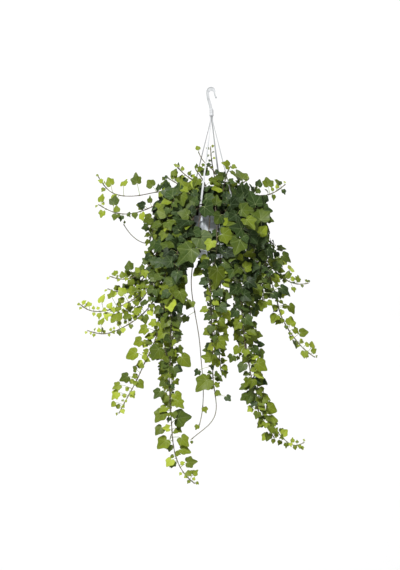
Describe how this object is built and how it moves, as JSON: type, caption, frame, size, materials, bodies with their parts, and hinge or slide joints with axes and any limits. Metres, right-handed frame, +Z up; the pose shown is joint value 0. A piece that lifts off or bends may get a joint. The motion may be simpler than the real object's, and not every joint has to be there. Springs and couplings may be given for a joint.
{
  "type": "potted ivy in a hanging pot",
  "caption": "Trailing ivy in a round plastic pot with a rim band, hung from a moulded plastic hanger with an open hook and clip-on strands.",
  "frame": {"origin": "inner top of the hook, where the hanger bears on what holds it up", "axes": "+Z up, front of the plant towards -Y, +X to the right seen from the front"},
  "size_m": [0.7041, 0.4581, 1.1835],
  "materials": {
    "hanger_plastic": "smooth moulded white plastic",
    "pot_plastic": "satin light grey moulded plastic",
    "potting_soil": "damp dark peat potting mix",
    "ivy": "waxy green leaves on thin woody stems"
  },
  "bodies": {
    "root": {"hanger": "hanger_plastic", "pot": "pot_plastic", "potting_soil": "potting_soil", "vine_left_high": "ivy", "vine_left_upper": "ivy", "vine_left_bare": "ivy", "vine_left_middle": "ivy", "vine_left_low_1": "ivy", "vine_left_low_2": "ivy", "vine_left_low_3": "ivy", "vine_left_low_4": "ivy", "vine_left_long": "ivy", "vine_longest": "ivy", "vine_inner_left_1": "ivy", "vine_inner_left_2": "ivy", "vine_centre_left": "ivy", "vine_centre_right": "ivy", "vine_centre_short": "ivy", "vine_right_long_1": "ivy", "vine_right_long_2": "ivy", "vine_right_back": "ivy", "vine_right_far": "ivy", "vine_right_runner": "ivy", "vine_right_shoulder": "ivy", "vine_right_high": "ivy", "vine_right_inner_1": "ivy", "vine_right_inner_2": "ivy", "shoot_top_left": "ivy", "shoot_top_middle": "ivy", "shoot_top_bent": "ivy", "shoot_top_tall": "ivy", "shoot_top_right": "ivy", "shoot_right": "ivy", "shoot_left": "ivy", "crown_front_left": "ivy", "crown_front_middle": "ivy", "crown_front_right": "ivy", "crown_right": "ivy", "crown_left": "ivy", "crown_far_left": "ivy", "crown_top_left": "ivy", "vine_back_left": "ivy", "vine_back_middle": "ivy", "vine_back_right": "ivy", "vine_back_far_right": "ivy", "vine_back_far_left": "ivy", "crown_back_left": "ivy", "crown_back_right": "ivy", "crown_back_middle": "ivy", "crown_back_far_left": "ivy", "crown_back_far_right": "ivy"}
  },
  "joints": []
}
